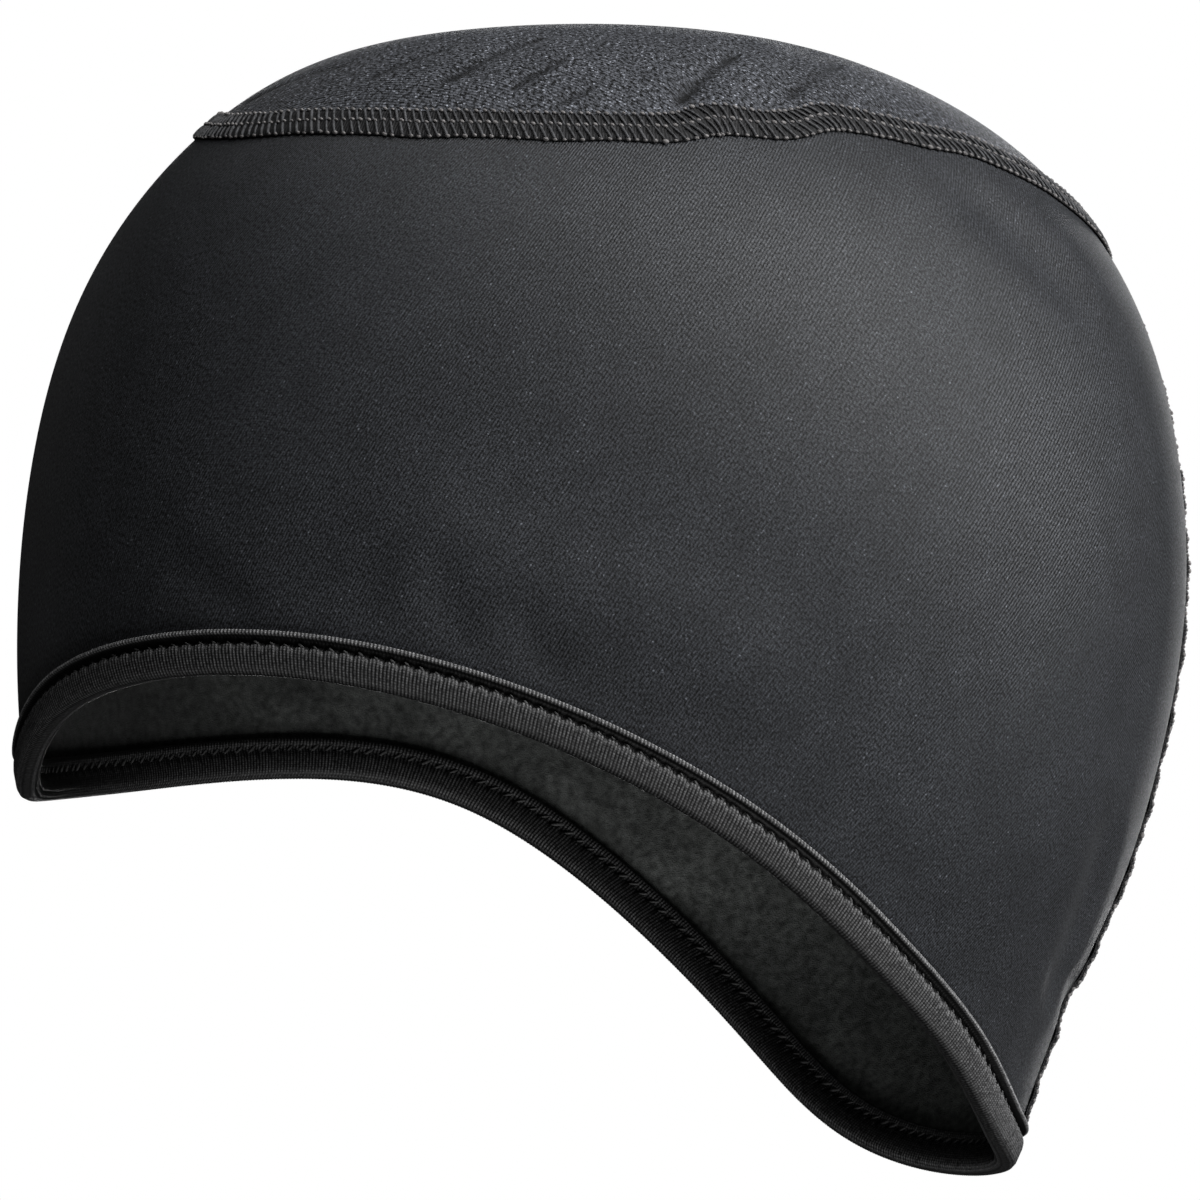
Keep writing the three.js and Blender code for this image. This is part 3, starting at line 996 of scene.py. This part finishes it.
def binding_stitches(name):
    """Long stitches that lie in the groove outside and slant across it inside."""
    bm = bmesh.new()
    steps = (np.arange(binding_count) + 0.5) * binding_pitch
    for up, out, long, wide, high, slant in RIM_STITCH_ROWS:
        stitch_row(bm, on_rim, steps, up * MM, out * MM, (long * MM, wide * MM, high * MM), slant)
    return smooth_piece(bm, name)


rim_stitches = binding_stitches("rim_binding_stitches")

# %% [markdown]
# ## Finishes
# The outer face is a tight satin knit. Fine slanting lines half a millimetre apart cross its rows,
# a grain breaks them up, and a few bright specks are pale lint and painted glints. The crown's
# panel is the same cloth with a coarser grain; its lighter tone is painted light, and it has more
# and stronger painted glints. The lines follow the texture coordinates, so they run with the cloth,
# and the thin folds get painted shade by the share that each vertex carries.

# %% Knit outside
def spread(tree, value, low, high, to_low, to_high):
    """A value's range from low to high, spread over another range."""
    node = add(tree, "ShaderNodeMapRange", {
        "Value": value, "From Min": low, "From Max": high, "To Min": to_low, "To Max": to_high})
    return node.outputs["Result"]


def product(tree, *values):
    """Several values multiplied together."""
    whole = values[0]
    for value in values[1:]:
        node = add(tree, "ShaderNodeMath", {0: whole, 1: value}, operation="MULTIPLY")
        whole = node.outputs["Value"]
    return whole


def tinted(tree, tone, strength):
    """A colour made lighter or darker by a strength."""
    node = add(tree, "ShaderNodeVectorMath", {0: tone, "Scale": strength}, operation="SCALE")
    return node.outputs["Vector"]


# a Wave texture's lines lie this far apart at a scale of one
WAVE_UNIT = math.pi / 10
KNIT_PITCH = 0.47 * MM
COURSE_PITCH = 0.43 * MM
SPECK_SPACING = 0.55 * MM
LINE_ANGLE = math.radians(28)


def knit(name, tone, twill, grain, grain_size, relief_depth, specks, painted_glint):
    """A satin knit of fine slanting lines, with a grain and a few bright specks of pale lint and
    painted glint.
    """
    material, tree, shader = new_material(name)
    lengths = add(tree, "ShaderNodeUVMap", uv_map="cloth").outputs["UV"]
    place = add(tree, "ShaderNodeTexCoord").outputs["Object"]
    turned = add(tree, "ShaderNodeMapping", {"Vector": lengths, "Rotation": (0, 0, LINE_ANGLE)})
    lines = add(tree, "ShaderNodeTexWave", {
        "Vector": turned.outputs["Vector"], "Scale": WAVE_UNIT / KNIT_PITCH, "Distortion": 1.2,
        "Detail": 1.0, "Detail Scale": 0.4})
    courses = add(tree, "ShaderNodeTexWave", {
        "Vector": lengths, "Scale": WAVE_UNIT / COURSE_PITCH, "Distortion": 2.0,
        "Detail": 1.0, "Detail Scale": 0.2}, bands_direction="Y")
    stretched = add(tree, "ShaderNodeMapping", {
        "Vector": turned.outputs["Vector"], "Scale": (1 / grain_size, 0.6 / grain_size, 1)})
    fine = add(tree, "ShaderNodeTexNoise", {
        "Vector": stretched.outputs["Vector"], "Scale": 1.0, "Detail": 2.0, "Roughness": 0.7})
    # the fold share darkens the colour: painted shade in the thin folds
    fold = add(tree, "ShaderNodeAttribute", attribute_name="fold")
    # bright specks: pale lint, and painted glints of the fibres that lighten the colour
    points = add(tree, "ShaderNodeTexVoronoi", {"Vector": place, "Scale": 1 / SPECK_SPACING})
    chance = add(tree, "ShaderNodeSeparateColor", {"Color": points.outputs["Color"]})
    chosen = spread(tree, chance.outputs["Red"], 1 - specks, 1.001 - specks, 0, 1)
    near = spread(tree, points.outputs["Distance"], 0.15, 0.45, painted_glint, 0)
    bright = add(tree, "ShaderNodeMath", {0: product(tree, chosen, near), 1: 1.0})
    mottle = add(tree, "ShaderNodeTexNoise", {"Vector": place, "Scale": 160.0, "Detail": 3.0})
    wide = add(tree, "ShaderNodeTexNoise", {"Vector": place, "Scale": 18.0, "Detail": 2.0})
    strength = product(
        tree,
        spread(tree, lines.outputs["Fac"], 0, 1, 1 - twill, 1 + twill),
        spread(tree, courses.outputs["Fac"], 0, 1, 1 - twill / 2, 1 + twill / 2),
        spread(tree, fine.outputs["Fac"], 0.38, 0.62, 1 - grain, 1 + grain),
        spread(tree, mottle.outputs["Fac"], 0.35, 0.65, 0.88, 1.12),
        spread(tree, wide.outputs["Fac"], 0.35, 0.65, 0.9, 1.1),
        # painted shade in the thin folds
        spread(tree, fold.outputs["Fac"], 0, 0.9, 1, 0.1),
        bright.outputs["Value"],
    )
    tree.links.new(tinted(tree, tone, strength), shader.inputs["Base Color"])
    roughness = spread(tree, fine.outputs["Fac"], 0.3, 0.7, 0.62, 0.42)
    tree.links.new(roughness, shader.inputs["Roughness"])
    relief = add(tree, "ShaderNodeMath", {0: fine.outputs["Fac"], 1: lines.outputs["Fac"]})
    bump = add(tree, "ShaderNodeBump", {
        "Height": relief.outputs["Value"], "Strength": 0.8, "Distance": relief_depth})
    tree.links.new(bump.outputs["Normal"], shader.inputs["Normal"])
    shader.inputs["Specular IOR Level"].default_value = 0.3
    shader.inputs["Sheen Weight"].default_value = 0.05
    shader.inputs["Sheen Roughness"].default_value = 0.4
    return material


side_knit = knit("side_knit", (0.0285, 0.0304, 0.0345), twill=0.33, grain=0.85,
                 grain_size=0.38 * MM, relief_depth=0.08 * MM, specks=0.06, painted_glint=2.0)
# the crown's panel is the same cloth as the side band: its tone, twice the side's, is painted
# light, and its denser, stronger specks are painted glints
top_knit_painted_light = knit("top_knit_painted_light", (0.0570, 0.0600, 0.0680), twill=0.15, grain=1.15,
                grain_size=0.45 * MM, relief_depth=0.2 * MM, specks=0.35, painted_glint=3.2)
print("knits", side_knit.name, "and", top_knit_painted_light.name)

# %% [markdown]
# Inside, the cloth is brushed to a short soft nap. It scatters light without any gloss, and its
# tone changes in soft blotches where the fibres lie in different ways: small ones of a millimetre
# or two and wide faint ones, over the fine speckle of the fibres themselves.

# %% Brushed inside
def nap(name, tone):
    """A brushed face with painted shade that darkens it towards the brow."""
    material, tree, shader = new_material(name)
    place = add(tree, "ShaderNodeTexCoord").outputs["Object"]
    backward = add(tree, "ShaderNodeSeparateXYZ", {"Vector": place})
    blotches = add(tree, "ShaderNodeTexNoise", {"Vector": place, "Scale": 650.0, "Detail": 3.0})
    clouds = add(tree, "ShaderNodeTexNoise", {"Vector": place, "Scale": 90.0, "Detail": 2.0})
    fibres = add(tree, "ShaderNodeTexNoise", {"Vector": place, "Scale": 4200.0, "Detail": 2.0})
    strength = product(
        tree,
        # painted shade, darker towards the brow
        spread(tree, backward.outputs["Y"], -0.08, 0.03, 0.2, 1.0),
        spread(tree, blotches.outputs["Fac"], 0.3, 0.7, 0.5, 1.5),
        spread(tree, clouds.outputs["Fac"], 0.3, 0.7, 0.8, 1.2),
        spread(tree, fibres.outputs["Fac"], 0.3, 0.7, 0.75, 1.25),
    )
    tree.links.new(tinted(tree, tone, strength), shader.inputs["Base Color"])
    height = add(tree, "ShaderNodeMath", {0: blotches.outputs["Fac"], 1: fibres.outputs["Fac"]})
    bump = add(tree, "ShaderNodeBump", {
        "Height": height.outputs["Value"], "Strength": 0.7, "Distance": 0.0003})
    tree.links.new(bump.outputs["Normal"], shader.inputs["Normal"])
    shader.inputs["Roughness"].default_value = 0.95
    shader.inputs["Specular IOR Level"].default_value = 0.15
    shader.inputs["Sheen Weight"].default_value = 0.15
    shader.inputs["Sheen Roughness"].default_value = 0.6
    return material


# the brushed side is paler than the outside, and its tone is lifted further as painted light for
# the inside
brushed = nap("brushed_nap_painted_light_and_shade", (0.215, 0.226, 0.217))
for cloth, outer_face in ((side_band, side_knit), (top_panel, top_knit_painted_light)):
    cloth.data.materials.append(outer_face)
    cloth.data.materials.append(brushed)
    print(cloth.name, "wears", [material.name for material in cloth.data.materials])

# %% [markdown]
# The thread is a fuzzy spun yarn, a little warmer than the cloth, and its stitches are lighter
# than the threads that cross between them, as a painted highlight on the loops. The binding is a
# fine ribbed yarn with painted shade in its furrows, in its groove and along its lower edge, and a
# painted highlight on its rolled edge.

# %% Thread
def yarn(name, tone, scale, contrast, roughness, sheen):
    """Spun fibres whose tone and relief come from one noise."""
    material, tree, shader = new_material(name)
    place = add(tree, "ShaderNodeTexCoord").outputs["Object"]
    strands = add(tree, "ShaderNodeTexNoise", {
        "Vector": place, "Scale": scale, "Detail": 3.0, "Roughness": 0.65})
    strength = spread(tree, strands.outputs["Fac"], 0.3, 0.7, 1 - contrast, 1 + contrast)
    tree.links.new(tinted(tree, tone, strength), shader.inputs["Base Color"])
    bump = add(tree, "ShaderNodeBump", {
        "Height": strands.outputs["Fac"], "Strength": 0.6, "Distance": 0.00012})
    tree.links.new(bump.outputs["Normal"], shader.inputs["Normal"])
    shader.inputs["Roughness"].default_value = roughness
    shader.inputs["Specular IOR Level"].default_value = 0.3
    shader.inputs["Sheen Weight"].default_value = sheen
    shader.inputs["Sheen Roughness"].default_value = 0.5
    return material


# the bed's outer face carries painted shade under the stitches, and its inside is this many times
# lighter
INSIDE_OVER_PAINTED_SHADE = 3.5


def thread_bed(name, tone):
    """Threads side by side, darkened by painted shade under the stitches outside, and lighter and
    plain to see inside.
    """
    material, tree, shader = new_material(name)
    lengths = add(tree, "ShaderNodeUVMap", uv_map="cloth").outputs["UV"]
    place = add(tree, "ShaderNodeTexCoord").outputs["Object"]
    across = add(tree, "ShaderNodeSeparateXYZ", {"Vector": lengths}).outputs["Y"]
    threads = add(tree, "ShaderNodeTexWave", {
        "Vector": lengths, "Scale": WAVE_UNIT / THREAD_PITCH, "Distortion": 1.0,
        "Detail": 1.0, "Detail Scale": 0.3})
    strands = add(tree, "ShaderNodeTexNoise", {"Vector": place, "Scale": 2200.0, "Detail": 2.0})
    strength = product(
        tree,
        spread(tree, across, -SIDE_SHIFT / 2, SIDE_SHIFT / 2, INSIDE_OVER_PAINTED_SHADE, 1.0),
        spread(tree, threads.outputs["Fac"], 0, 1, 0.5, 1.5),
        spread(tree, strands.outputs["Fac"], 0.3, 0.7, 0.5, 1.5),
    )
    tree.links.new(tinted(tree, tone, strength), shader.inputs["Base Color"])
    bump = add(tree, "ShaderNodeBump", {
        "Height": threads.outputs["Fac"], "Strength": 0.6, "Distance": 0.0001})
    tree.links.new(bump.outputs["Normal"], shader.inputs["Normal"])
    shader.inputs["Roughness"].default_value = 0.7
    shader.inputs["Specular IOR Level"].default_value = 0.3
    return material


# %% Ribbed binding
CROSS_ROW_PITCH = 0.42 * MM
# the top of the rolled edge gets a painted highlight; the groove under it and the band's lower edge
# outside get painted shade
ROLL_FOOT = 6.7 * MM
ROLL_FACE = 6.95 * MM
ROLL_PAINTED_HIGHLIGHT = 1.9
BAND_TOP = 5.4 * MM
BAND_FACE = 5.2 * MM
GROOVE_PAINTED_SHADE = 0.03
EDGE_PAINTED_SHADE = 0.35


def ribbed_yarn(name, tone):
    """Ribs and fine cross rows, with painted shade in the furrows, in the groove under the rolled
    edge and along the lower edge, and a painted highlight on the roll.
    """
    material, tree, shader = new_material(name)
    lengths = add(tree, "ShaderNodeUVMap", uv_map="cloth")
    place = add(tree, "ShaderNodeTexCoord").outputs["Object"]
    split = add(tree, "ShaderNodeSeparateXYZ", {"Vector": lengths.outputs["UV"]})
    along = split.outputs["X"]
    up = add(tree, "ShaderNodeMath", {0: split.outputs["Y"], 1: SIDE_SHIFT},
             operation="SUBTRACT").outputs["Value"]
    lean = product(tree, up, RIB_LEAN)
    phase = product(tree, add(tree, "ShaderNodeMath", {0: along, 1: lean}).outputs["Value"],
                    2 * math.pi / RIB_PITCH)
    ribs = add(tree, "ShaderNodeMath", {0: phase}, operation="COSINE").outputs["Value"]
    rows = add(tree, "ShaderNodeMath", {0: product(tree, up, 2 * math.pi / CROSS_ROW_PITCH)},
               operation="COSINE").outputs["Value"]
    strands = add(tree, "ShaderNodeTexNoise", {"Vector": place, "Scale": 2300.0, "Detail": 2.0})
    roll_highlight = spread(tree, up, ROLL_FOOT, ROLL_FACE, 0.0, ROLL_PAINTED_HIGHLIGHT)
    band = spread(tree, up, BAND_TOP, BAND_FACE, 0.0, 1.0)
    outer = add(tree, "ShaderNodeMath", {0: roll_highlight, 1: band}).outputs["Value"]
    painted_groove_and_roll = add(tree, "ShaderNodeMath", {0: outer, 1: GROOVE_PAINTED_SHADE},
              operation="MAXIMUM").outputs["Value"]
    edge = spread(tree, up, 0.2 * MM, 1.3 * MM, EDGE_PAINTED_SHADE, 1.0)
    inside = spread(tree, up, -SIDE_SHIFT, -SIDE_SHIFT / 2, 1.0, 0.0)
    painted_lower_edge = add(tree, "ShaderNodeMath", {0: edge, 1: inside}, operation="MAXIMUM").outputs["Value"]
    strength = product(
        tree,
        painted_groove_and_roll,
        painted_lower_edge,
        # painted shade in the rib furrows and a painted highlight on their crests
        spread(tree, ribs, -0.7, 0.8, 0.2, 1.8),
        spread(tree, rows, -1, 1, 0.6, 1.4),
        spread(tree, strands.outputs["Fac"], 0.3, 0.7, 0.3, 1.7),
    )
    tree.links.new(tinted(tree, tone, strength), shader.inputs["Base Color"])
    bump = add(tree, "ShaderNodeBump", {
        "Height": strands.outputs["Fac"], "Strength": 0.6, "Distance": 0.0001})
    tree.links.new(bump.outputs["Normal"], shader.inputs["Normal"])
    shader.inputs["Roughness"].default_value = 0.5
    shader.inputs["Specular IOR Level"].default_value = 0.3
    return material


# %% Which piece wears which yarn
# the stitches are toned lighter than the crossing threads as a painted highlight on the loops
stitch_yarn_painted_highlight = yarn("stitch_yarn_painted_highlight", (0.21, 0.20, 0.198), 2600.0, contrast=0.6, roughness=0.5,
                   sheen=0.1)
bed_yarn = thread_bed("bed_yarn", (0.016, 0.016, 0.017))
dark_yarn = yarn("dark_yarn", (0.060, 0.061, 0.065), 1500.0, contrast=0.8, roughness=0.55,
                 sheen=0.1)
binding_yarn = ribbed_yarn("binding_yarn", (0.062, 0.062, 0.063))
edge_yarn = yarn("edge_yarn", (0.10, 0.10, 0.10), 2600.0, contrast=0.5, roughness=0.5, sheen=0.1)
WEARS = [
    (crown_stitches, stitch_yarn_painted_highlight),
    (back_stitches, stitch_yarn_painted_highlight),
    (rim_stitches, edge_yarn),
    (crown_crossings, dark_yarn),
    (back_crossings, dark_yarn),
    (crown_bed, bed_yarn),
    (back_bed, bed_yarn),
    (binding, binding_yarn),
]
for piece, finish in WEARS:
    piece.data.materials.append(finish)
    print(piece.name, "wears", finish.name)

# %% [markdown]
# ## Hand the pieces to the frame
# Each piece rides on the cap's one body and stands for its CAD node, whose own part is hidden. The
# sheets are cut smaller than the head and stretched over it.

# %% Riding and replacing
PARTS = [
    (side_band, "side_band", "panel_cloth"),
    (top_panel, "top_panel", "panel_cloth"),
    (crown_bed, "crown_seam", "seam_thread"),
    (crown_stitches, "crown_seam", "seam_thread"),
    (crown_crossings, "crown_seam", "seam_thread"),
    (back_bed, "back_seam", "seam_thread"),
    (back_stitches, "back_seam", "seam_thread"),
    (back_crossings, "back_seam", "seam_thread"),
    (binding, "rim_binding", "edge_binding"),
    (rim_stitches, "rim_binding", "edge_binding"),
]
for piece, node, slot in PARTS:
    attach(piece, "root")
    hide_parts(node)
